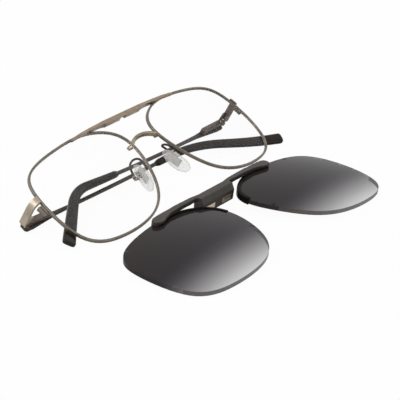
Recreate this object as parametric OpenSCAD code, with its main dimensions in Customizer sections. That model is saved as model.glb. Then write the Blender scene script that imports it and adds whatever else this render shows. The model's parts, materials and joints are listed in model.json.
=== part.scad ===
// Clip-on eyeglasses: a metal aviator frame lying folded on a table, front side up,
// with its separate magnetic sun clip lying beside it.
// Millimetres. Z is up from the table, X runs along the brow bar from the wearer's
// right to the wearer's left, Y runs toward the brow side.

/* [Lenses] */
// Width of a spectacle lens, measured between the middles of the rim wire
lens_w = 56; // [52:0.5:58]
// Height of a spectacle lens, measured the same way
lens_h = 43; // [39:0.5:45]
// From the middle of the frame to the middle of each lens
lens_out = 36; // [35:0.25:38]
// Radius of the front curve of the spectacle lenses
lens_r = 245; // [200:5:300]
// Turn of each spectacle lens toward its temple, degrees
lens_wrap = 3.8; // [3:0.2:5]
// Greatest thickness of a spectacle lens
lens_t = 1.3; // [1.1:0.1:1.5]

/* [Rims and front] */
// Width of the rim wire as seen from the front
rim_w = 0.9; // [0.8:0.05:1.1]
// Depth of the rim wire from front to back
rim_d = 1.15; // [1:0.05:1.4]
// Depth of the brow bar from front to back
brow_d = 2.4; // [2.2:0.1:2.8]
// Thickness of the bridge as seen from the front
bridge_d = 1.5; // [1.4:0.1:1.9]
// Thickness of the end pieces
end_t = 1.4; // [1.2:0.1:1.7]
// Height of the end pieces
end_h = 2.8; // [2.6:0.1:3.2]

/* [Temples] */
// Length of a temple from the hinge pin, measured along it
temple_len = 138; // [134:1:139]
// Thickness of the metal temple bar
bar_t = 1; // [0.9:0.1:1.2]
// Height of the metal temple bar behind its hinge end
bar_h = 1.4; // [1.3:0.1:1.7]
// Radius of the bow of the temples
bow_r = 700; // [690:5:800]
// Height of the plastic tip at its end
tip_h = 5; // [4.4:0.1:5.2]
// Thickness of the plastic tip at its end
tip_t = 2; // [1.8:0.1:2.2]

/* [Nose pads] */
// Length of a nose pad
pad_len = 13; // [12:0.5:14.5]
// Width of a nose pad
pad_w = 5.4; // [5:0.2:6.4]
// Thickness of a nose pad
pad_t = 2.6; // [2.4:0.1:2.8]

/* [Sun clip] */
// How far the edge of a clip lens stands outside the rim wire
clip_over = 0.75; // [0.6:0.05:1.1]
// Thickness of a clip lens
clip_t = 1.7; // [1.5:0.1:2]
// Radius of the front curve of the clip lenses
clip_r = 179; // [170:1:200]
// Half of the length of the clip bar
clip_half = 37; // [36:0.5:38]

/* [Hidden] */
$fn = 48;

// Where the folded glasses and the clip lie on the table
rest_tilt = 30.4;
rest_x = 0.978;
rest_y = 26.98;
rest_z = 13.21;
clip_x = rest_x - 7.2;
clip_y = rest_y - 50;
clip_z = 5.3;
clip_turn = -1.6;
clip_tilt = 4.1;

// Ten hand-set points that pull a closed curve into the shape of a lens
// whose width is 56 and height 43, X outward and Y up
lens_pull = [
  [28.5, 9], [23.5, 19], [3, 21], [-12, 22], [-27.5, 16.5],
  [-29, 5], [-21, -14.5], [-7, -22], [13, -22], [28, -16.5]];
curve_steps = 8;
ball_fn = 360;
lens_in = lens_out - lens_w / 2;
lens_end = lens_out + lens_w / 2;
edge_in = 0.05;
bevel_t = 0.5;
rim_slit_y = 2.9;
lock_w = 2.1;
lock_h = 3.6;
lock_front = -0.5 - lens_w * lens_w / (8 * lens_r);
lock_back = lock_front - 1.6;
lock_pin = 1.1;
lock_r = 0.4;
lock_head = 0.5;
lock_head_r = 0.6;
slit_w = 0.2;

// Bridge: half its span, its height above the lens middles, its rise and half
// of its extra depth
bridge_half = lens_in;
bridge_low = 8;
bridge_rise = 2.6;
bridge_deep = 0.35;
bridge_r = (bridge_half * bridge_half + bridge_rise * bridge_rise) / (2 * bridge_rise);
bridge_a = asin(bridge_half / bridge_r);

// Hinge: place of the pin and sizes of the knuckles
pin_x = lens_end + 0.8;
pin_y = 6.2;
pin_z = -15.05;
pin_r = 0.5;
pin_fit = 0.05;
knuckle_r = 1.2;
tongue_h = 1;
leaf_h = 0.7;
leaf_gap = 0.06;
face_in = knuckle_r + 0.3;
face_out = face_in + bar_t;
face_mid = face_in + bar_t / 2;
end_back = pin_z + 0.9;
end_face_x = pin_x + face_out;
end_arc_r = 4.2;
end_bend_x = end_face_x - end_arc_r;
end_bend_z = -2.4 - end_arc_r;
end_rise = 0.5;
end_low = -0.1;
end_lift = atan2(end_rise, end_bend_z - end_back);
house_from = 1.7;
house_to = 14;
house_h = 2.4;
house_in = 0.9;
bore_r = 0.62;
bore_from = 3.2;
bore_to = 13.5;
tail_r = 0.3;

// Temples: drop and bend of the right one and of the left one
drop_right = 3;
drop_left = 0;
bend_right = 25;
bend_left = 34.5;
bend_from_right = temple_len - 54;
bend_from_left = temple_len - 42;
bend_run_right = 26;
bend_run_left = 16;
head_from = -0.3;
head_top = 1.6;
head_low = 2.2;
sleeve_from = temple_len - 63;
sleeve_h = 2.6;
sleeve_t = 2;
curl_from = temple_len - 21;
curl_right = 0.00424;
curl_left = 0.0008;
way_right = [bend_from_right, bend_run_right, bend_right, curl_right];
way_left = [bend_from_left, bend_run_left, bend_left, curl_left];
core_h = 1.1;
core_t = 1;
core_end = 12;

// Nose pads: middle of the pad and turn of its long side
pad_x = lens_in + 2.4;
pad_y = -4.05;
pad_z = -5;
pad_lean = 13.7;
pad_splay = 10;
pad_pin_out = 2.6;
pad_pin_up = 1.5;
pad_pin_r = 0.35;
pad_wire_d = 0.9;
pad_oval = [for (a = [0:15:345])
  [pad_len / 2 * sin(a), pad_w / 2 * cos(a) * (1 - 0.16 * sin(a))]];
pad_wire = [
  for (p = [
    [2.7, -3, -0.95], [1.9, -0.4, -1], [1.35, 1.9, -1.3], [1.4, 3.5, -2.6],
    [2.2, 4, -4.3], [3.7, 2.9, -5.2], [5.2, 0, -5.6], [5.5, -1.3, -5.6]])
    [lens_in + p.x, p.y, p.z]];
pad_wire_side = [0.85, 0.4, 0.35];
lug_r = 0.8;
lug_w = 1.5;
box_wall = 0.45;

// Magnets of the brow bar and of the clip
magnet_from = 1.6;
magnet_len = 7.4;
brow_low = 20.2;
brow_front = 1.5;
recess_half = 1.45;
clip_low = 17.7;
clip_front = 1.9;
clip_bow_r = 1500;
clip_arm_t = 1.8;
clip_back = -6.78;
house_half = 10.2;
house_foot = -4.7;
foot_back = -1.6;
foot_from = 27;
strip_over = 0.15;
strip_in = 1.3;
strip_t = 0.4;

// Share of a curve point taken from each of its four pull points
function pull(k) = let (p = lens_pull[(k + 10) % 10]) [p.x * lens_w / 56, p.y * lens_h / 43];
function curve_at(k, t) =
  (pow(1 - t, 3) * pull(k - 1) + (3 * pow(t, 3) - 6 * t * t + 4) * pull(k)
  + (3 * t + 3 * t * t - 3 * pow(t, 3) + 1) * pull(k + 1) + pow(t, 3) * pull(k + 2)) / 6;
function curve_way(k, t) =
  (-pow(1 - t, 2) * pull(k - 1) + (3 * t * t - 4 * t) * pull(k)
  + (1 + 2 * t - 3 * t * t) * pull(k + 1) + t * t * pull(k + 2)) / 2;
// The lens shape moved outward by grow
function lens_edge(grow) = [
  for (k = [0:9]) for (j = [0:curve_steps - 1])
    let (t = j / curve_steps, d = curve_way(k, t))
      curve_at(k, t) + grow * [d.y, -d.x] / norm(d)];

module lens_prism(grow) {
  translate([0, 0, -10])
    linear_extrude(16)
      polygon(lens_edge(grow));
}

module lens_ball(r, shift) {
  translate([0, 0, -r])
    rotate([90, 0, 0])
      sphere(r = r + shift, $fn = ball_fn);
}

// Lens shape with curved faces, from below to above the front curve of radius r
module lens_slab(grow, r, below, above) {
  difference() {
    intersection() {
      lens_prism(grow);
      lens_ball(r, above);
    }
    lens_ball(r, -below);
  }
}

// All that lies inside the lens shape and behind a curved face
module lens_space(grow, r, above) {
  intersection() {
    lens_prism(grow);
    lens_ball(r, above);
  }
}

// The room of rim and lens with all that lies in front of them
module front_room() {
  difference() {
    lens_prism(rim_w / 2);
    lens_ball(lens_r, -rim_d / 2);
  }
  difference() {
    lens_prism(-rim_w / 2);
    lens_ball(lens_r, -lens_t / 2 - 0.05);
  }
}

// The room of rim and lens with all that lies behind them
module back_room() {
  lens_space(rim_w / 2, lens_r, rim_d / 2);
  lens_space(-rim_w / 2, lens_r, lens_t / 2 + 0.05);
}

// Closed skin through rings of points
module skin(rings) {
  n = len(rings[0]);
  m = len(rings);
  polyhedron(
    points = [for (r = rings) each r],
    faces = concat(
      [[for (j = [0:n - 1]) j]],
      [for (k = [0:m - 2]) for (j = [0:n - 1])
        [k * n + j, (k + 1) * n + j, (k + 1) * n + (j + 1) % n]],
      [for (k = [0:m - 2]) for (j = [0:n - 1])
        [k * n + j, (k + 1) * n + (j + 1) % n, k * n + (j + 1) % n]],
      [[for (j = [n - 1:-1:0]) (m - 1) * n + j]]));
}

// Smooth curve through points, and its direction, at k whole points and t of the next
function near_point(points, k) = points[max(0, min(len(points) - 1, k))];
function smooth_at(points, k, t) =
  let (a = near_point(points, k - 1), b = points[k], c = near_point(points, k + 1),
    d = near_point(points, k + 2))
    b + t / 2 * (c - a) + t * t / 2 * (2 * a - 5 * b + 4 * c - d)
      + pow(t, 3) / 2 * (3 * b - a - 3 * c + d);
function smooth_way(points, k, t) =
  let (a = near_point(points, k - 1), b = points[k], c = near_point(points, k + 1),
    d = near_point(points, k + 2))
    (c - a) / 2 + t * (2 * a - 5 * b + 4 * c - d) + 3 * t * t / 2 * (3 * b - a - 3 * c + d);

// Round wire along the smooth curve; no part of it runs along the given side vector
module wire(points, d, side) {
  steps = 5;
  places = concat(
    [for (k = [0:len(points) - 2]) for (j = [0:steps - 1]) [k, j / steps]],
    [[len(points) - 2, 1]]);
  skin([for (p = places)
    let (way = smooth_way(points, p[0], p[1]), u = cross(side, way), n = u / norm(u),
      v = cross(n, way) / norm(way))
      [for (a = [330:-30:0])
        smooth_at(points, p[0], p[1]) + d / 2 * (cos(a) * n + sin(a) * v)]]);
}

// The points of a half outline followed by their mirror images
function with_mirrored(points) = concat(points,
  [for (k = [len(points) - 1:-1:0]) [-points[k].x, points[k].y]]);

// Side 1 is the wearer's left, side -1 the wearer's right
module on_side(side) {
  if (side > 0)
    children();
  else
    mirror([1, 0, 0])
      children();
}

module glasses() {
  translate([rest_x, rest_y, rest_z])
    rotate([rest_tilt, 0, 0])
      children();
}

module at_lens() {
  translate([lens_out, 0, 0])
    rotate([0, lens_wrap, 0])
      children();
}

module clip() {
  translate([clip_x, clip_y, clip_z])
    rotate([0, 0, clip_turn])
      rotate([clip_tilt, 0, 0])
        children();
}

module at_clip_lens() {
  translate([lens_out - 0.4, 0, 0])
    rotate([0, 2, 0])
      children();
}

// Temple frame: X along the folded temple, Y up its side, Z out of its outer face
module at_hinge(drop) {
  translate([pin_x, pin_y, pin_z])
    rotate([0, 180, 0])
      rotate([0, 0, -drop])
        children();
}

// Axis of the screw that closes a rim, its head end pointing down
module at_lock() {
  translate([lens_w / 2 + lock_pin, rim_slit_y, (lock_back + lock_front) / 2])
    rotate([90, 0, 0])
      children();
}

module rim(side) {
  color([0.42, 0.39, 0.36])
    glasses() on_side(side) at_lens() {
      difference() {
        union() {
          lens_slab(rim_w / 2, lens_r, rim_d / 2, rim_d / 2);
          translate([lens_w / 2 - 0.1, rim_slit_y - lock_h / 2, lock_back])
            cube([lock_w, lock_h, lock_front - lock_back]);
        }
        lens_prism(-rim_w / 2);
        lens_slab(-edge_in, lens_r, bevel_t / 2, bevel_t / 2);
        translate([lens_w / 2 - 2, rim_slit_y - slit_w / 2, -6])
          cube([6, slit_w, 6]);
        at_lock() {
          cylinder(r = lock_r, h = 8, center = true, $fn = 24);
          translate([0, 0, lock_h / 2 - lock_head])
            cylinder(r = lock_head_r, h = 2, $fn = 24);
        }
      }
    }
}

module lens(side) {
  color([0.93, 0.95, 0.95, 0.35])
    glasses() on_side(side) at_lens() {
      lens_slab(-rim_w / 2 - 0.05, lens_r, lens_t / 2, lens_t / 2);
      lens_slab(-edge_in, lens_r, bevel_t / 2, bevel_t / 2);
    }
}

module brow_outline() {
  polygon(with_mirrored([
    [12, 22.1], [20, 21.8], [26, 21.5], [31, 21], [32.4, 20.6],
    [32.7, 20.2], [32.3, 19.9], [26, 20.2], [20, 20.6], [15.5, 20.8],
    [12.2, 20.6], [11.2, brow_low]]));
}

module brow_magnet_block() {
  translate([magnet_from, brow_low, brow_front - brow_d + 0.3])
    cube([magnet_len, 1.2, brow_d - 0.7]);
}

module brow_bar() {
  color([0.6, 0.55, 0.47])
    glasses()
      difference() {
        translate([0, 0, brow_front - brow_d])
          linear_extrude(brow_d)
            brow_outline();
        for (side = [-1, 1])
          on_side(side) {
            brow_magnet_block();
            at_lens()
              back_room();
          }
        translate([-recess_half, brow_low - 0.1, brow_front - brow_d - 0.1])
          cube([2 * recess_half, 0.9, brow_d - 0.3]);
      }
}

module brow_magnet(side) {
  color([0.7, 0.66, 0.58])
    glasses() on_side(side)
      brow_magnet_block();
}

module bridge() {
  color([0.68, 0.62, 0.5])
    glasses()
      difference() {
        union() {
          translate([0, bridge_low + bridge_rise - bridge_r, -0.5])
            rotate([0, 0, 90 - bridge_a])
              rotate_extrude(angle = 2 * bridge_a, $fn = 96)
                translate([bridge_r, 0]) {
                  for (deep = [-bridge_deep, bridge_deep])
                    translate([0, deep])
                      circle(d = bridge_d, $fn = 32);
                  square([bridge_d, 2 * bridge_deep], center = true);
                }
          for (side = [-1, 1])
            on_side(side)
              translate([lens_in - 0.7, 7.3, -1.8])
                cube([2.4, 1.4, 1.6]);
        }
        for (side = [-1, 1])
          on_side(side) at_lens()
            front_room();
      }
}

module end_piece(side) {
  color([0.72, 0.67, 0.56])
    glasses() on_side(side)
      difference() {
        union() {
          translate([0, pin_y + end_low, end_back])
            rotate([-end_lift, 0, 0])
              translate([0, 0, -end_back]) {
                translate([end_bend_x, end_h / 2, end_bend_z])
                  rotate([90, 0, 0])
                    rotate_extrude(angle = 90, $fn = 96)
                      translate([end_arc_r - end_t, 0])
                        square([end_t, end_h]);
                translate([end_face_x - end_t, -end_h / 2, end_back])
                  cube([end_t, end_h, end_bend_z - end_back + 0.01]);
              }
          for (up = [-1, 1])
            translate([0, pin_y + up * (tongue_h / 2 + leaf_gap + leaf_h / 2), 0]) {
              translate([pin_x, 0, pin_z])
                rotate([90, 0, 0])
                  cylinder(r = knuckle_r, h = leaf_h, center = true);
              translate([pin_x - 0.9, -leaf_h / 2, pin_z])
                cube([end_face_x - end_t + 0.95 - pin_x, leaf_h, 4.6]);
            }
        }
        translate([pin_x, pin_y, pin_z])
          rotate([90, 0, 0])
            cylinder(r = pin_r, h = 12, center = true);
        translate([pin_x - 5, pin_y - 10, end_back - 3])
          difference() {
            cube([12, 20, 3]);
            translate([-1, -1, -1])
              cube([5 + face_in - 0.3 + 1, 22, 5]);
          }
        at_lens() {
          front_room();
          back_room();
        }
      }
}

module rim_screws() {
  color([0.75, 0.74, 0.72])
    for (side = [-1, 1])
      glasses() on_side(side) at_lens()
        at_lock() {
          translate([0, 0, -lock_h / 2])
            cylinder(r = lock_r, h = lock_h - lock_head + 0.01, $fn = 24);
          difference() {
            translate([0, 0, lock_h / 2 - lock_head])
              cylinder(r = lock_head_r, h = lock_head, $fn = 24);
            translate([-1, -0.12, lock_h / 2 - 0.25])
              cube([2, 0.24, 1]);
          }
        }
}

module hinge_screws() {
  low = tongue_h / 2 + leaf_gap + leaf_h;
  color([0.75, 0.74, 0.72])
    for (side = [-1, 1])
      glasses() on_side(side)
        translate([pin_x, pin_y, pin_z])
          rotate([90, 0, 0]) {
            translate([0, 0, -low])
              cylinder(r = pin_r, h = 2 * low + 0.01);
            difference() {
              translate([0, 0, low])
                cylinder(r = 0.8, h = 0.5);
              translate([-1, -0.13, low + 0.25])
                cube([2, 0.26, 1]);
            }
          }
}

// Pad frame: Y up the pad, Z along its width toward the front, X out from the nose
module at_pad() {
  translate([pad_x, pad_y, pad_z])
    rotate([0, 0, pad_lean])
      rotate([0, pad_splay, 0])
        children();
}

module pad_arm(side) {
  color([0.3, 0.28, 0.27])
    glasses() on_side(side)
      difference() {
        wire(pad_wire, pad_wire_d, pad_wire_side);
        at_lens()
          front_room();
        at_pad()
          pad_box_block();
      }
}

module pad_box_block() {
  translate([1.75, pad_pin_up - 1.1, -lug_w / 2 - 0.05 - box_wall])
    cube([pad_pin_out + lug_r + 0.75 - 1.75, 2.2, lug_w + 0.1 + 2 * box_wall]);
}

module pad_box(side) {
  color([0.78, 0.75, 0.7])
    glasses() on_side(side) at_pad()
      difference() {
        pad_box_block();
        translate([0, -3, -lug_w / 2 - 0.05])
          cube([pad_pin_out + lug_r + 0.3, 8, lug_w + 0.1]);
        translate([pad_pin_out, pad_pin_up, 0])
          cylinder(r = pad_pin_r, h = 6, center = true, $fn = 32);
      }
}

module pad_screws() {
  reach = lug_w / 2 + 0.05 + box_wall;
  color([0.62, 0.6, 0.58])
    for (side = [-1, 1])
      glasses() on_side(side) at_pad()
        translate([pad_pin_out, pad_pin_up, 0]) {
          translate([0, 0, -reach - 0.01])
            cylinder(r = pad_pin_r, h = 2 * reach + 0.01, $fn = 32);
          translate([0, 0, -reach - 0.45])
            cylinder(r = 0.65, h = 0.45, $fn = 32);
        }
}

module nose_pad(side) {
  dome = 16;
  color([0.92, 0.92, 0.9, 0.6])
    glasses() on_side(side) at_pad()
      difference() {
        intersection() {
          translate([-pad_t / 2, 0, 0])
            rotate([90, 0, 90])
              linear_extrude(pad_t)
                polygon([for (p = pad_oval) [p.x, p.y]]);
          translate([dome - pad_t / 2, 0, 0])
            sphere(r = dome, $fn = 96);
        }
        insert_block();
      }
}

// Stiffener plate inside the pad and the lug that stands out of its back
module insert_block() {
  translate([-0.3, -2, -1.7])
    cube([0.6, 6.6, 3.4]);
  translate([0.29, pad_pin_up - lug_r, -lug_w / 2])
    cube([pad_pin_out - 0.29, 2 * lug_r, lug_w]);
  translate([pad_pin_out, pad_pin_up, 0])
    cylinder(r = lug_r, h = lug_w, center = true, $fn = 48);
}

module pad_insert(side) {
  color([0.7, 0.7, 0.7])
    glasses() on_side(side) at_pad()
      difference() {
        insert_block();
        translate([pad_pin_out, pad_pin_up, 0])
          cylinder(r = pad_pin_r + 0.05, h = 3, center = true, $fn = 32);
      }
}

// Cylinder whose wall is the bowed face that starts at height out over the pin
module bow(out) {
  translate([0, 0, face_mid - bow_r])
    rotate([90, 0, 0])
      cylinder(r = bow_r + out - face_mid, h = 80, center = true, $fn = 1440);
}

function bow_at(out, run) =
  face_mid - bow_r + sqrt(pow(bow_r + out - face_mid, 2) - run * run);

module bowed(out, inner) {
  difference() {
    intersection() {
      translate([0, 0, -20])
        linear_extrude(30)
          children();
      bow(out);
    }
    bow(inner);
  }
}

// Middle line of a temple seen from the side, after a run from the pin.
// A bend is given as [where it starts, how long it runs, how far it turns,
// how fast the tip beyond it curls inward].
function bend_end(bend) = bend[0] + bend[1];
function side_turn(run, bend) = bend[2] * min(1, max(0, (run - bend[0]) / bend[1]));
function side_at(run, bend) =
  let (r = bend[1] * 180 / (PI * bend[2]), a = side_turn(run, bend),
    over = max(0, run - bend_end(bend)))
    run < bend[0] ? [run, 0]
    : [bend[0] + r * sin(a) + over * cos(a), -r * (1 - cos(a)) - over * sin(a)];
function side_across(run, bend) = let (a = side_turn(run, bend)) [sin(a), cos(a)];

module temple_bar_shape(bend) {
  h = bar_h / 2;
  bowed(face_out, face_in)
    polygon([
      [head_from, 0.9], [head_from + 0.8, head_top], [4, head_top], [10, 1.3],
      [18, h + 0.1], [26, h], [sleeve_from + 1.5, h], [sleeve_from + 1.5, -h], [26, -h],
      [18, -h - 0.2], [10, -1.6], [4, -head_low], [head_from + 0.8, -head_low],
      [head_from, -1.5]]);
  runs = concat([sleeve_from + 1], [for (k = [0:6]) bend[0] + bend[1] * k / 6],
    [temple_len - core_end]);
  bowed(face_mid + core_t / 2, face_mid - core_t / 2)
    polygon(concat(
      [for (r = runs) side_at(r, bend) + core_h / 2 * side_across(r, bend)],
      [for (k = [len(runs) - 1:-1:0])
        side_at(runs[k], bend) - core_h / 2 * side_across(runs[k], bend)]));
}

module temple_bar(side, drop, bend) {
  color([0.3, 0.27, 0.25])
    glasses() on_side(side) at_hinge(drop)
      temple_bar_shape(bend);
}

function round_part(v, size) = sign(v) * pow(abs(v), 0.55) * size / 2;
// One rounded cross section of the tip
function tip_ring(run, bend, h, t) =
  let (p = side_at(run, bend), q = side_across(run, bend),
    out = face_mid - bow_r + sqrt(bow_r * bow_r - p.x * p.x)
      - bend[3] * pow(max(0, p.x - curl_from), 2))
    [for (a = [0:18:342])
      let (up = round_part(cos(a), h), side = round_part(sin(a), t))
        [p.x + up * q.x, p.y + up * q.y, out + side]];

// Height and thickness of the tip after a run from the pin
function tip_share(run) = (run - sleeve_from) / (temple_len - sleeve_from);
function tip_round(run) =
  let (a = min(1, (run - sleeve_from) / 2.5), b = min(1, (temple_len - run) / 1.2))
    (0.62 + 0.38 * sin(90 * a)) * (0.7 + 0.3 * sqrt(1 - pow(1 - b, 2)));

module temple_tip(side, drop, bend) {
  runs = concat(
    [for (k = [0:4]) sleeve_from + 2.5 * k / 4],
    [sleeve_from + 5, sleeve_from + 8],
    [for (k = [0:10]) bend[0] + bend[1] * k / 10],
    [for (k = [1:5]) bend_end(bend) + (temple_len - 1.2 - bend_end(bend)) * k / 6],
    [for (k = [0:4]) temple_len - 1.2 * (1 - k / 4)]);
  color([0.2, 0.18, 0.17])
    glasses() on_side(side) at_hinge(drop)
      difference() {
        skin([for (r = runs)
          tip_ring(r, bend,
            (sleeve_h + (tip_h - sleeve_h) * tip_share(r)) * tip_round(r),
            (sleeve_t + (tip_t - sleeve_t) * tip_share(r)) * tip_round(r))]);
        temple_bar_shape(bend);
      }
}

module hinge_housing(side, drop) {
  color([0.36, 0.33, 0.31])
    glasses() on_side(side) at_hinge(drop)
      difference() {
        rotate([90, 0, 0])
          linear_extrude(house_h, center = true)
            polygon([
              [house_from, -house_in], [house_to, -house_in],
              [house_to, bow_at(face_in, house_to)],
              [house_from, bow_at(face_in, house_from)]]);
        rotate([0, 90, 0]) {
          cylinder(r = tail_r, h = bore_from + 0.1, $fn = 32);
          translate([0, 0, bore_from])
            cylinder(r = bore_r, h = bore_to - bore_from, $fn = 32);
        }
      }
}

module hinge_tongue(side, drop) {
  color([0.66, 0.64, 0.6])
    glasses() on_side(side) at_hinge(drop)
      difference() {
        union() {
          rotate([0, 0, drop])
            rotate([90, 0, 0])
              cylinder(r = knuckle_r, h = tongue_h, center = true);
          translate([0, -tongue_h / 2 + 0.1, -0.5])
            cube([house_from, tongue_h - 0.2, 1]);
          rotate([0, 90, 0]) {
            cylinder(r = tail_r, h = bore_to - 0.8, $fn = 32);
            translate([0, 0, bore_to - 0.8])
              cylinder(r = bore_r - 0.04, h = 0.6, $fn = 32);
          }
        }
        rotate([0, 0, drop])
          rotate([90, 0, 0])
            cylinder(r = pin_r + pin_fit, h = 4, center = true);
      }
}

module hinge_spring(side, drop) {
  turns = 7;
  steps = 12;
  wire_r = 0.1;
  coil_r = tail_r + wire_r + 0.04;
  from = bore_from + wire_r + 0.02;
  rise = (bore_to - 0.8 - wire_r - 0.02 - from) / (turns * steps);
  color([0.8, 0.8, 0.8])
    glasses() on_side(side) at_hinge(drop)
      skin([for (k = [0:turns * steps])
        let (a = 360 * k / steps)
          [for (b = [300:-60:0])
            let (r = coil_r + wire_r * cos(b))
              [from + rise * k + wire_r * sin(b), r * cos(a), r * sin(a)]]]);
}

module clip_edge_region() {
  translate([0, 0, -8])
    linear_extrude(16)
      polygon([[0.3, 30], [0.3, 14], [-20, 14], [-23, 9], [-36, 9], [-36, 30]]);
}

module clip_lens_slab() {
  lens_slab(clip_over, clip_r, clip_t / 2, clip_t / 2);
}

module clip_strip_envelope() {
  intersection() {
    lens_slab(clip_over + strip_over, clip_r, clip_t / 2 + strip_t, clip_t / 2 + strip_t);
    clip_edge_region();
  }
}

module clip_strip(side) {
  color([0.13, 0.12, 0.12])
    clip() on_side(side) at_clip_lens()
      difference() {
        clip_strip_envelope();
        lens_prism(clip_over - strip_in);
        clip_lens_slab();
      }
}

module clip_lens(side) {
  color([0.3, 0.28, 0.29, 0.75])
    clip() on_side(side) at_clip_lens()
      clip_lens_slab();
}

module clip_bar_outline() {
  polygon(with_mirrored([
    [8, 22.1], [12, 22.7], [20, 23], [30, 23], [clip_half - 2.2, 22.8],
    [clip_half - 0.7, 22.2], [clip_half, 21], [clip_half - 0.2, 19.8],
    [clip_half - 1.4, 18.9], [clip_half - 3.8, 18.7], [31, 19.6], [27, 20.6],
    [20, 20.9], [house_half + 0.6, 20.8], [house_half, 20.1], [house_half - 1, 19.2]]));
}

module clip_bar_ball(shift) {
  translate([0, 20, clip_front - clip_bow_r])
    rotate([90, 0, 0])
      cylinder(r = clip_bow_r + shift, h = 30, center = true, $fn = 1440);
}

module clip_housing() {
  translate([-house_half, 0, 0])
    rotate([90, 0, 90])
      linear_extrude(2 * house_half)
        polygon([
          [clip_low, -0.6], [19, clip_front], [22.1, clip_front], [22.1, -2],
          [21.6, clip_back], [20.4, clip_back], [clip_low + 0.2, house_foot]]);
}

module clip_magnet_block() {
  translate([magnet_from + 0.8, clip_low, -3.9])
    rotate([2.2, 0, 0])
      cube([magnet_len - 1.6, 1.4, 2.1]);
}

module clip_bar() {
  color([0.25, 0.24, 0.23])
    clip()
      difference() {
        union() {
          difference() {
            intersection() {
              translate([0, 0, -4])
                linear_extrude(8)
                  clip_bar_outline();
              clip_bar_ball(0);
            }
            difference() {
              clip_bar_ball(-clip_arm_t);
              for (side = [-1, 1])
                on_side(side)
                  translate([foot_from, 0, foot_back])
                    cube([20, 40, 4]);
            }
            translate([-50, 0, foot_back - 10])
              cube([100, 40, 10]);
          }
          clip_housing();
        }
        for (side = [-1, 1])
          on_side(side) {
            clip_magnet_block();
            at_clip_lens() {
              clip_strip_envelope();
              clip_lens_slab();
              clip_lens_back();
            }
          }
      }
}

// Room behind a clip lens, so that nothing of the bar is left there
module clip_lens_back() {
  intersection() {
    lens_space(clip_over + strip_over, clip_r, 0);
    translate([-40, -40, -12])
      cube([80, 80, 11]);
  }
}

module clip_magnet(side) {
  color([0.8, 0.73, 0.6])
    clip() on_side(side)
      clip_magnet_block();
}

rim(-1);  // rim_right
rim(1);  // rim_left
lens(-1);  // lens_right
lens(1);  // lens_left
brow_bar();
bridge();
brow_magnet(-1);  // brow_magnet_right
brow_magnet(1);  // brow_magnet_left
end_piece(-1);  // end_piece_right
end_piece(1);  // end_piece_left
rim_screws();
hinge_screws();
pad_arm(-1);  // pad_arm_right
pad_arm(1);  // pad_arm_left
pad_box(-1);  // pad_box_right
pad_box(1);  // pad_box_left
pad_screws();
nose_pad(-1);  // nose_pad_right
nose_pad(1);  // nose_pad_left
pad_insert(-1);  // pad_insert_right
pad_insert(1);  // pad_insert_left
temple_bar(-1, drop_right, way_right);  // temple_bar_right
temple_bar(1, drop_left, way_left);  // temple_bar_left
temple_tip(-1, drop_right, way_right);  // temple_tip_right
temple_tip(1, drop_left, way_left);  // temple_tip_left
hinge_housing(-1, drop_right);  // hinge_housing_right
hinge_housing(1, drop_left);  // hinge_housing_left
hinge_tongue(-1, drop_right);  // hinge_tongue_right
hinge_tongue(1, drop_left);  // hinge_tongue_left
hinge_spring(-1, drop_right);  // hinge_spring_right
hinge_spring(1, drop_left);  // hinge_spring_left
clip_bar();
clip_magnet(-1);  // clip_magnet_right
clip_magnet(1);  // clip_magnet_left
clip_strip(-1);  // clip_strip_right
clip_strip(1);  // clip_strip_left
clip_lens(-1);  // clip_lens_right
clip_lens(1);  // clip_lens_left
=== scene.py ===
# %% [markdown]
# # Clip-on eyeglasses on a white table
# A thin metal aviator frame lies folded with its front up, and the magnetic sun clip
# that belongs to it lies beside it. The solids come from a imported frame and stay where
# they are. This lesson sets up the camera and the light, makes one finish for each
# real material plus darker copies of two of them as painted shade, rounds the edges that
# catch the light, and remakes the few pieces whose soft shape plain solids can't show.
# Lengths on the object are in metres.

# %% Load the imported frame
import json
import math

import bpy
from mathutils import Matrix, Vector

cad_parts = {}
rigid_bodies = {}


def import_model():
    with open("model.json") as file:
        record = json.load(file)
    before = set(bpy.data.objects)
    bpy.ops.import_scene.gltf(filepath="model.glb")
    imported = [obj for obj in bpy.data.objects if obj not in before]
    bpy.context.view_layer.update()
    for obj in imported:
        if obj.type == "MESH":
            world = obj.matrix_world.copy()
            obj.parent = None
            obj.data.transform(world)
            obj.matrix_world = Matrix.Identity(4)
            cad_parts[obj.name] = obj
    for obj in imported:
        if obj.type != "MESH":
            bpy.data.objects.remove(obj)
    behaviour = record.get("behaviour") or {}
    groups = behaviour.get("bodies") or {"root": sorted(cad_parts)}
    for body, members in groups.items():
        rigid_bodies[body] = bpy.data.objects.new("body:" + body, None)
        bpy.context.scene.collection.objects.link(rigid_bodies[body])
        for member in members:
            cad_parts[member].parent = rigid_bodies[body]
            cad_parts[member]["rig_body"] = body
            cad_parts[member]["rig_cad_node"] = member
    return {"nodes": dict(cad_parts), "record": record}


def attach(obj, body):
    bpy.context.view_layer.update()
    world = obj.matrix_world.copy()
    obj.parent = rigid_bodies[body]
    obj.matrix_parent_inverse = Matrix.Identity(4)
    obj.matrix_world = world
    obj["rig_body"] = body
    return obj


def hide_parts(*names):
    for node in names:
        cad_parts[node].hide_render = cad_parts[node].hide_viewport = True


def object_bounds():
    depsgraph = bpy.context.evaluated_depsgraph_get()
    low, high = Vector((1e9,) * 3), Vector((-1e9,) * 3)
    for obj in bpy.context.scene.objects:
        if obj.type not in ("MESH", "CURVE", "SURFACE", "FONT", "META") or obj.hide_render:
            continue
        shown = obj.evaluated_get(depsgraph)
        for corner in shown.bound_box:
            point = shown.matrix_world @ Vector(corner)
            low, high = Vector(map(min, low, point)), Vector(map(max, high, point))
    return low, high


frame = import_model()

solids = frame["nodes"]
solid_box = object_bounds()
body_of = {
    name: body
    for body, names in frame["record"]["behaviour"]["bodies"].items()
    for name in names
}
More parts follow.
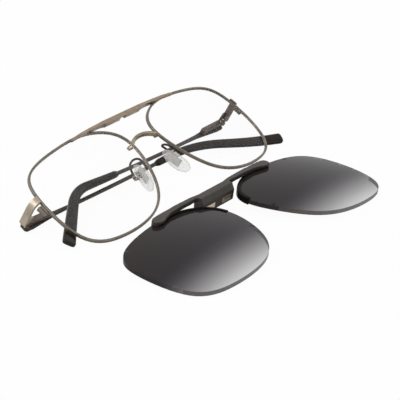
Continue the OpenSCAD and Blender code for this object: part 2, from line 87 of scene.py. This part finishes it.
size_in_mm = [round(1000 * side) for side in solid_box[1] - solid_box[0]]
print("solids:", len(solids), "size in mm:", size_in_mm)

# %% [markdown]
# The camera comes first, because every later choice is judged through it. The picture
# was taken from the wearer's right and from above, with a long lens, so parallel lines
# hardly meet. The place and the turn were worked out from the two equal lenses of each
# pair. Writing the turn as two directions is easier to read than three angles: the
# third direction is their cross product.

# %% Place the camera
camera_place = (-0.45182, -0.28252, 0.2392)
picture_right = Vector((0.5531, -0.8323, 0.0380))
picture_back = Vector((-0.7689, -0.4924, 0.4079))
picture_up = picture_back.cross(picture_right)
camera_turn = Matrix((picture_right, picture_up, picture_back)).transposed().to_4x4()

camera_data = bpy.data.cameras.new("picture_camera")
camera_data.sensor_width = 36
camera_data.lens = 139
camera = bpy.data.objects.new("picture_camera", camera_data)
bpy.context.scene.collection.objects.link(camera)
camera.matrix_world = Matrix.Translation(camera_place) @ camera_turn
bpy.context.scene.camera = camera
bpy.context.scene.view_settings.view_transform = "Standard"
print("camera height in mm:", round(1000 * camera.location.z))

# %% [markdown]
# Small glossy things are lit by large soft sources, so that a highlight has a soft end.
# One big lamp stands high on the left, a weaker one on the right fills the shadows, and
# a third from behind draws the top edges. Together with the world they light a white
# card to just under white, so a colour comes out about as it is written. The back lamp
# stands well off the direction that the flat sun lenses mirror toward this camera, or
# its square would show in them.

# %% Light the table
def soft_lamp(name, place, size, power):
    bpy.ops.object.light_add(type="AREA", location=place)
    lamp = bpy.context.object
    lamp.name = name
    lamp.data.size = size
    lamp.data.energy = power
    lamp.rotation_euler = Vector(place).to_track_quat("Z", "Y").to_euler()


soft_lamp("key_lamp", place=(-0.75, 0.15, 0.85), size=0.7, power=5.5)
soft_lamp("fill_lamp", place=(0.35, -0.9, 0.6), size=0.8, power=1.6)
soft_lamp("back_lamp", place=(-0.1, 1.0, 0.75), size=0.6, power=2.6)

# %% [markdown]
# Finishes are built from nodes, and helpers keep the later cells short. The first makes
# an empty material and hands back its shader, and the second adds a node with its
# settings. The third adds noise that is measured in the object's own metres, so that the
# grain is as fine on a screw as on a rim. Its Mapping node leaves the pattern as it is,
# and is the place where one would turn or stretch it.

# %% Helpers for materials and noise
def fresh_material(name):
    material = bpy.data.materials.new(name)
    material.use_nodes = True
    tree = material.node_tree
    return material, tree, tree.nodes["Principled BSDF"]


def add_node(tree, kind, **settings):
    node = tree.nodes.new(kind)
    for key, value in settings.items():
        if key in node.inputs:
            node.inputs[key].default_value = value
        else:
            setattr(node, key, value)
    return node


def grain(tree, per_metre, detail=4.0):
    place = add_node(tree, "ShaderNodeTexCoord")
    mapping = add_node(tree, "ShaderNodeMapping")
    noise = add_node(tree, "ShaderNodeTexNoise", Scale=per_metre, Detail=detail, Roughness=0.55)
    tree.links.new(place.outputs["Object"], mapping.inputs["Vector"])
    tree.links.new(mapping.outputs["Vector"], noise.inputs["Vector"])
    return noise.outputs["Fac"]


print("a material, a node and noise can be made")

# %% [markdown]
# Noise is only a number from 0 to 1. These helpers put it to use: a ramp turns it into
# colours, a range stretches it between two values, and a bump makes fine relief of it.
# Most surfaces mix two tones of one colour, and their gloss wanders between a low and
# a high value.

# %% Helpers that use the noise
def ramp(tree, source, stops):
    node = add_node(tree, "ShaderNodeValToRGB")
    middle = 0.5
    while len(node.color_ramp.elements) < len(stops):
        node.color_ramp.elements.new(middle)
    for element, (position, colour) in zip(node.color_ramp.elements, stops):
        element.position = position
        element.color = (*colour, 1)
    tree.links.new(source, node.inputs["Fac"])
    return node.outputs["Color"]


def two_tones(tree, shader, source, deep, pale, start=0.35, end=0.65):
    tones = ramp(tree, source, [(start, deep), (end, pale)])
    tree.links.new(tones, shader.inputs["Base Color"])


def spread(tree, source, low, high):
    node = add_node(tree, "ShaderNodeMapRange")
    node.inputs["To Min"].default_value = low
    node.inputs["To Max"].default_value = high
    tree.links.new(source, node.inputs["Value"])
    return node.outputs["Result"]


def uneven_gloss(tree, shader, source, low, high):
    tree.links.new(spread(tree, source, low, high), shader.inputs["Roughness"])


def bumps(tree, shader, source, strength, depth):
    node = add_node(tree, "ShaderNodeBump", Strength=strength, Distance=depth)
    tree.links.new(source, node.inputs["Height"])
    tree.links.new(node.outputs["Normal"], shader.inputs["Normal"])


print("noise can colour, dull and roughen a surface")

# %% [markdown]
# The table is plain white. A white floor under soft light would still come out grey, so
# for camera rays the floor mixes in its own white glow. The small share that doesn't
# glow is lit, and keeps the faint contact shadow. The floor lies a hair under table
# level, so that it never cuts into the pieces that rest there.

# %% Make the floor
floor_drop = 0.00002
floor_glow = 0.96

bpy.ops.mesh.primitive_plane_add(size=6, location=(0, 0, -floor_drop))
floor = bpy.context.object
floor.name = "table_top"
floor_material, tree, shader = fresh_material("white_table")
shader.inputs["Base Color"].default_value = (0.9, 0.9, 0.9, 1)
shader.inputs["Roughness"].default_value = 0.7
glow = add_node(tree, "ShaderNodeEmission", Color=(1, 1, 1, 1), Strength=1.0)
seen_by = add_node(tree, "ShaderNodeLightPath")
glow_share = add_node(tree, "ShaderNodeMath", operation="MULTIPLY")
glow_share.inputs[1].default_value = floor_glow
blend = add_node(tree, "ShaderNodeMixShader")
tree.links.new(seen_by.outputs["Is Camera Ray"], glow_share.inputs[0])
tree.links.new(glow_share.outputs[0], blend.inputs["Fac"])
tree.links.new(shader.outputs["BSDF"], blend.inputs[1])
tree.links.new(glow.outputs["Emission"], blend.inputs[2])
tree.links.new(blend.outputs["Shader"], tree.nodes["Material Output"].inputs["Surface"])
floor.data.materials.append(floor_material)
print("floor ready, share that glows:", floor_glow)

# %% [markdown]
# The room is white too. It adds only a soft share of the light, and the lamps do the
# rest. But where the camera looks past the table, or sees the room mirrored or through
# glass, it is pure white. Light Path tells these rays apart, and two Maximum nodes join
# them.

# %% Set the world
room_light = 0.4
room_seen = 1.0

world = bpy.data.worlds.new("white_room")
bpy.context.scene.world = world
world.use_nodes = True
tree = world.node_tree
room = tree.nodes["Background"]
room.inputs["Color"].default_value = (1, 1, 1, 1)
seen_by = add_node(tree, "ShaderNodeLightPath")
seen_or_mirrored = add_node(tree, "ShaderNodeMath", operation="MAXIMUM")
seen_in_any_way = add_node(tree, "ShaderNodeMath", operation="MAXIMUM")
tree.links.new(seen_by.outputs["Is Camera Ray"], seen_or_mirrored.inputs[0])
tree.links.new(seen_by.outputs["Is Glossy Ray"], seen_or_mirrored.inputs[1])
tree.links.new(seen_or_mirrored.outputs[0], seen_in_any_way.inputs[0])
tree.links.new(seen_by.outputs["Is Transmission Ray"], seen_in_any_way.inputs[1])
room_strength = spread(tree, seen_in_any_way.outputs[0], room_light, room_seen)
tree.links.new(room_strength, room.inputs["Strength"])
print("room ready, strength as light and as seen:", room_light, room_seen)

# %% [markdown]
# The frame is plated metal. Plating isn't one flat colour: it is a little darker where
# fingers have left it matte and lighter where it is rubbed. The metal finish mixes two
# tones in soft patches of a few millimetres. A grain finer than half a millimetre sets
# how sharply each spot mirrors, and gives it the least bit of relief.

# %% Metal finishes
patches_per_metre = 160
grains_per_metre = 2600


def metal_finish(name, deep, pale, rough, metallic=0.9):
    material, tree, shader = fresh_material(name)
    shader.inputs["Metallic"].default_value = metallic
    two_tones(tree, shader, grain(tree, patches_per_metre), deep, pale)
    fine = grain(tree, grains_per_metre, detail=3.0)
    uneven_gloss(tree, shader, fine, low=rough - 0.08, high=rough + 0.12)
    bumps(tree, shader, fine, strength=0.06, depth=0.00002)
    return material


rim_metal = metal_finish(
    "rim_plating", (0.15, 0.128, 0.104), (0.2, 0.174, 0.142), rough=0.24, metallic=0.75)
brow_metal = metal_finish(
    "brow_plating", (0.25, 0.19, 0.14), (0.36, 0.28, 0.205), rough=0.3, metallic=0.65)
end_metal = metal_finish(
    "end_piece_plating", (0.34, 0.285, 0.21), (0.47, 0.4, 0.31), rough=0.34, metallic=0.6)
# The far end piece has the same plating as the near one, painted brown: painted shade for its
# side turned from the light.
far_end_painted_shade = metal_finish(
    "end_piece_painted_shade", (0.11, 0.085, 0.068), (0.17, 0.13, 0.105), rough=0.34, metallic=0.6)
bridge_metal = metal_finish(
    "bridge_plating", (0.2, 0.165, 0.11), (0.36, 0.3, 0.21), rough=0.24, metallic=0.8)
head_metal = metal_finish(
    "temple_head_plating", (0.1, 0.075, 0.062), (0.16, 0.12, 0.1), rough=0.34, metallic=0.5)
temple_metal = metal_finish(
    "temple_bar_plating", (0.044, 0.034, 0.028), (0.06, 0.047, 0.039), rough=0.34, metallic=0.5)
arm_metal = metal_finish(
    "pad_arm_plating", (0.025, 0.02, 0.017), (0.06, 0.05, 0.042), rough=0.26, metallic=0.7)
bright_steel = metal_finish(
    "bright_steel", (0.42, 0.4, 0.36), (0.6, 0.57, 0.52), rough=0.22)
# The hinge parts are the same steel as the bright screws, painted dark: painted shade for hinges
# tucked between end piece and temple head.
hinge_steel = metal_finish(
    "hinge_steel", (0.09, 0.075, 0.06), (0.17, 0.145, 0.12), rough=0.34, metallic=0.7)
magnet_plating = metal_finish(
    "frame_magnet_plating", (0.4, 0.33, 0.24), (0.55, 0.47, 0.36), rough=0.36, metallic=0.8)
clip_cream = metal_finish(
    "clip_magnet_cream", (0.8, 0.66, 0.5), (0.95, 0.84, 0.7), rough=0.34, metallic=0.5)
clip_gold = metal_finish(
    "clip_magnet_gold", (0.3, 0.22, 0.155), (0.46, 0.35, 0.26), rough=0.3, metallic=0.8)
clip_metal = metal_finish(
    "clip_bar_coating", (0.03, 0.025, 0.02), (0.042, 0.035, 0.029), rough=0.5, metallic=0.15)
print("metals ready")

# %% [markdown]
# The tips are dark acetate, glossy and slightly brown, the strips that hold the clip
# lenses are black moulded plastic, and the stiffeners in the pads are grey plastic.
# Plastic needs only small changes of tone and a clear gloss. In a white room even a
# black surface mirrors white, and a low IOR keeps the tips and strips deep.

# %% Plastic finishes
clouds_per_metre = 240
pores_per_metre = 5200


def plastic_finish(name, deep, pale, rough, mirror=1.45, relief=0.1):
    material, tree, shader = fresh_material(name)
    shader.inputs["IOR"].default_value = mirror
    two_tones(tree, shader, grain(tree, clouds_per_metre), deep, pale)
    pores = grain(tree, pores_per_metre, detail=2.0)
    uneven_gloss(tree, shader, pores, low=rough - 0.04, high=rough + 0.06)
    bumps(tree, shader, pores, strength=relief, depth=0.00003)
    return material


tip_acetate = plastic_finish(
    "tip_acetate", (0.013, 0.01, 0.008), (0.019, 0.014, 0.011),
    rough=0.18, mirror=1.26, relief=0.03)
strip_plastic = plastic_finish(
    "clip_strip_plastic", (0.004, 0.0035, 0.003), (0.008, 0.007, 0.006),
    rough=0.26, mirror=1.12)
insert_plastic = plastic_finish(
    "pad_insert_plastic", (0.5, 0.49, 0.46), (0.66, 0.65, 0.62), rough=0.3)
print("plastics ready")

# %% [markdown]
# A clear lens is seen only by what it mirrors. Alpha keeps the view through it clear,
# and Layer Weight raises it where the surface turns away from the eye, as on real glass.
# A Fresnel node would do the same on the front, but seen from inside a solid it jumps to
# full mirror, and the lens would turn grey.

# %% Clear lens finish
smears_per_metre = 90

clear_lens, tree, shader = fresh_material("clear_lens_glass")
shader.inputs["Base Color"].default_value = (0.95, 0.97, 0.97, 1)
shader.inputs["IOR"].default_value = 1.45
uneven_gloss(tree, shader, grain(tree, smears_per_metre), low=0.01, high=0.05)
slant = add_node(tree, "ShaderNodeLayerWeight", Blend=0.25)
tree.links.new(spread(tree, slant.outputs["Facing"], low=0.0, high=0.06), shader.inputs["Alpha"])
print("clear lens ready")

# %% [markdown]
# The sun lenses are dyed in a bath, so the tint runs from dark at the brow to almost
# clear at the lower edge, along one direction. The clip lies flat, so this is the
# table's Y direction. Two ramps read the same height on the lens, from 0 at the bottom
# to 1 at the top: one for how much the tint covers and one for its colour, which turns
# slightly violet as it thins. A real sun lens has a coat against glare, so it mirrors
# less than bare plastic: a low IOR stands for the coat.

# %% Sun lens finish
haze_per_metre = 120
cover_stops = [
    (0.03, 0.23), (0.1, 0.325), (0.17, 0.45), (0.24, 0.56),
    (0.32, 0.69), (0.41, 0.83), (0.5, 0.92), (1.0, 0.955)]
tint_stops = [
    (0.0, (0.14, 0.12, 0.13)), (0.3, (0.045, 0.036, 0.046)),
    (0.5, (0.024, 0.019, 0.023)), (1.0, (0.026, 0.02, 0.018))]


def sun_lens_finish(name, top, bottom):
    material, tree, shader = fresh_material(name)
    shader.inputs["IOR"].default_value = 1.2
    place = add_node(tree, "ShaderNodeTexCoord")
    split = add_node(tree, "ShaderNodeSeparateXYZ")
    height = add_node(tree, "ShaderNodeMapRange")
    height.inputs["From Min"].default_value = bottom
    height.inputs["From Max"].default_value = top
    tree.links.new(place.outputs["Object"], split.inputs["Vector"])
    tree.links.new(split.outputs["Y"], height.inputs["Value"])
    grey_stops = [(stop, (share, share, share)) for stop, share in cover_stops]
    cover = ramp(tree, height.outputs["Result"], grey_stops)
    tint = ramp(tree, height.outputs["Result"], tint_stops)
    tree.links.new(tint, shader.inputs["Base Color"])
    tree.links.new(cover, shader.inputs["Alpha"])
    uneven_gloss(tree, shader, grain(tree, haze_per_metre), low=0.06, high=0.12)
    return material


print("stops of cover and of tint:", len(cover_stops), len(tint_stops))

# %% [markdown]
# In the picture the right lens turns clear a little sooner, so its tint starts and ends
# further up. Light that enters at the rim of a lens is trapped, which makes the ground
# edge look dark: it gets a finish of its own, and only a little of the view shows through
# it.

# %% Both sun lenses and their ground edge
ground_edge_cover = 0.88

sun_lens_right = sun_lens_finish("sun_lens_tint_right", top=-0.0008, bottom=-0.0453)
sun_lens_left = sun_lens_finish("sun_lens_tint_left", top=-0.0027, bottom=-0.0472)
lens_edge = plastic_finish(
    "sun_lens_ground_edge", (0.035, 0.026, 0.022), (0.06, 0.048, 0.042), rough=0.3)
edge_shader = lens_edge.node_tree.nodes["Principled BSDF"]
edge_shader.inputs["Alpha"].default_value = ground_edge_cover
print("sun lenses ready")

# %% [markdown]
# Nose pads are clear silicone: soft, a little milky, and bright where light gathers in
# them. Alpha lets the grey stiffener and the dark wire show through, and Layer Weight
# makes the pad thicker to the eye where its wall is seen at a slant.

# %% Silicone finish
milk_per_metre = 700

silicone, tree, shader = fresh_material("pad_silicone")
shader.inputs["IOR"].default_value = 1.35
shader.inputs["Coat Weight"].default_value = 0.3
shader.inputs["Coat Roughness"].default_value = 0.1
milk = grain(tree, milk_per_metre)
two_tones(tree, shader, milk, (0.86, 0.85, 0.82), (0.97, 0.96, 0.94), start=0.3, end=0.7)
uneven_gloss(tree, shader, milk, low=0.1, high=0.22)
slant = add_node(tree, "ShaderNodeLayerWeight", Blend=0.4)
tree.links.new(spread(tree, slant.outputs["Facing"], low=0.2, high=0.75), shader.inputs["Alpha"])
print("silicone ready")

# %% [markdown]
# Each solid gets the finish of its real material, but the far end piece and the hinge
# parts get theirs darkened as painted shade. Both sides are made of the same pieces, so
# one line names a pair. Three pairs differ from side to side. The picture shows the near
# end piece pale and the far one brown. Both have the same plating, and the far one's
# brown is painted shade for its side turned from the light. One magnet of the clip is
# cream and the other gold. The third pair is the two sun lenses. The hinge parts are the
# same steel as the bright screws, painted dark as painted shade where they sit tucked
# between end piece and temple head.

# %% Dress the solids
sides = ("_right", "_left")


def both_sides(name):
    return [name] if name in solids else [name + side for side in sides]


def dress(material, *names):
    for name in names:
        for each in both_sides(name):
            solids[each].data.materials.clear()
            solids[each].data.materials.append(material)


dress(rim_metal, "rim")
dress(clear_lens, "lens")
dress(brow_metal, "brow_bar")
dress(end_metal, "end_piece_right")
dress(far_end_painted_shade, "end_piece_left")
dress(bridge_metal, "bridge")
dress(magnet_plating, "brow_magnet")
dress(bright_steel, "rim_screws", "pad_screws", "pad_box")
dress(arm_metal, "pad_arm")
dress(silicone, "nose_pad")
dress(insert_plastic, "pad_insert")
dress(head_metal, "hinge_housing")
dress(temple_metal, "temple_bar")
dress(tip_acetate, "temple_tip")
# The hinge parts get their steel painted dark, as painted shade.
dress(hinge_steel, "hinge_tongue", "hinge_spring", "hinge_screws")
dress(clip_metal, "clip_bar")
dress(clip_cream, "clip_magnet_right")
dress(clip_gold, "clip_magnet_left")
dress(strip_plastic, "clip_strip")
dress(sun_lens_right, "clip_lens_right")
dress(sun_lens_left, "clip_lens_left")
print("dressed:", sum(1 for solid in solids.values() if solid.data.materials))

# %% [markdown]
# Solids have knife-sharp edges, and real metal never has: it is tumbled and polished, so
# each edge carries a thin line of light. Sharp edges are the main thing that makes a
# model look like a model. So most solids get a worked copy that takes their place. It
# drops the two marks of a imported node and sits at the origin, unturned, with its place
# in its mesh. Its loose triangles are merged, and it rides on the body of its solid and
# keeps that solid's material slot.

# %% Worked copies
merge_distance = 0.000001


def only(piece):
    bpy.ops.object.select_all(action="DESELECT")
    piece.select_set(True)
    bpy.context.view_layer.objects.active = piece


def copy_of(name):
    piece = solids[name].copy()
    piece.data = solids[name].data.copy()
    piece.name = "worked_" + name
    bpy.context.scene.collection.objects.link(piece)
    piece.parent = None
    piece.matrix_world = Matrix.Identity(4)
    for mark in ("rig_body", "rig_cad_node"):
        if mark in piece:
            del piece[mark]
    only(piece)
    bpy.ops.object.mode_set(mode="EDIT")
    bpy.ops.mesh.select_all(action="SELECT")
    bpy.ops.mesh.remove_doubles(threshold=merge_distance)
    bpy.ops.object.mode_set(mode="OBJECT")
    return piece


def apply_all(piece):
    only(piece)
    for modifier in list(piece.modifiers):
        bpy.ops.object.modifier_apply(modifier=modifier.name)


def put_in_place(piece, name):
    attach(piece, body_of[name])
    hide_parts(name)


# %% [markdown]
# To round a copy's edges, the flat triangles are first joined into whole faces. A Bevel
# modifier then rounds the edges that are sharper than a limit, and shading by angle keeps
# the flat faces flat. Each piece has its own width, as a real one has its own wear.
# Where the width is 0, a piece is so thin or so finely curved that only its shading is
# smoothed. Tips and pad wires bend in coarse facets, so theirs is smoothed over a wider
# angle.

# %% Round the edges
flat_within = 0.004
sharp_from = math.radians(34)
shade_across = math.radians(35)
shade_across_bends = math.radians(60)
bent_pieces = ("temple_tip", "pad_arm")
edge_widths = {
    "hinge_housing": 0.0003, "temple_bar": 0.00018,
    "clip_strip": 0.00012, "clip_magnet": 0.0001, "brow_magnet": 0.0001,
    "pad_box": 0.00012, "pad_insert": 0.00015, "bridge": 0, "temple_tip": 0, "pad_arm": 0,
    "rim_screws": 0, "hinge_screws": 0, "pad_screws": 0, "hinge_tongue": 0}


def round_edges(name, width, shading=shade_across):
    piece = copy_of(name)
    if width > 0:
        bpy.ops.object.mode_set(mode="EDIT")
        bpy.ops.mesh.select_all(action="SELECT")
        bpy.ops.mesh.dissolve_limited(angle_limit=flat_within)
        bpy.ops.object.mode_set(mode="OBJECT")
        bevel = piece.modifiers.new("worn_edge", "BEVEL")
        bevel.width = width
        bevel.segments = 3
        bevel.limit_method = "ANGLE"
        bevel.angle_limit = sharp_from
        bevel.use_clamp_overlap = False
        apply_all(piece)
    only(piece)
    bpy.ops.object.shade_smooth_by_angle(angle=shading)
    put_in_place(piece, name)
    return piece


for name, width in edge_widths.items():
    shading = shade_across_bends if name in bent_pieces else shade_across
    for each in both_sides(name):
        piece = round_edges(each, width, shading)
    print(name, "edge", round(1000 * width, 2), "mm, faces", len(piece.data.polygons))

# %% [markdown]
# A rim is drawn wire, round all along, with a groove for the lens inside. Its solid has
# square corners and many small cuts, where a bevel would fold over itself and throw out
# spikes. A voxel Remesh turns it into an even skin of small squares, and a Smooth
# modifier relaxes that skin, which rounds every corner at once. The same two steps suit
# the cast and bent pieces with many cuts, and they give a nose pad the soft edge of
# moulded silicone. Few rounds keep an edge crisp, more rounds melt it.

# %% Soft skins
def soften(name, cell, rounds):
    piece = copy_of(name)
    skin = piece.modifiers.new("even_skin", "REMESH")
    skin.mode = "VOXEL"
    skin.voxel_size = cell
    relax = piece.modifiers.new("relaxed_skin", "SMOOTH")
    relax.factor = 0.5
    relax.iterations = rounds
    apply_all(piece)
    only(piece)
    bpy.ops.object.shade_smooth()
    put_in_place(piece, name)
    print(name, "faces", len(piece.data.polygons))


for side in sides:
    soften("rim" + side, cell=0.00015, rounds=5)
    soften("end_piece" + side, cell=0.0001, rounds=5)
    soften("nose_pad" + side, cell=0.0002, rounds=10)
soften("brow_bar", cell=0.00013, rounds=4)
soften("clip_bar", cell=0.00018, rounds=3)

# %% [markdown]
# The sun lenses are cut from a sheet and their edges are ground flat, so they keep their
# sharp edge. Every face of the copy that stands upright and looks down the lens is
# picked by its normal and gets the dark finish of the ground edge. The other sides keep
# the tint, because there the edge is hidden under the strip or seen through the lens.

# %% Sun lenses with ground edges
upright_within = 0.15
looks_down_from = -0.35
for name in both_sides("clip_lens"):
    piece = round_edges(name, width=0)
    piece.data.materials.append(lens_edge)
    ground = [face for face in piece.data.polygons
              if abs(face.normal.z) < upright_within and face.normal.y < looks_down_from]
    for face in ground:
        face.material_index = 1
    print(name, "ground faces:", len(ground))
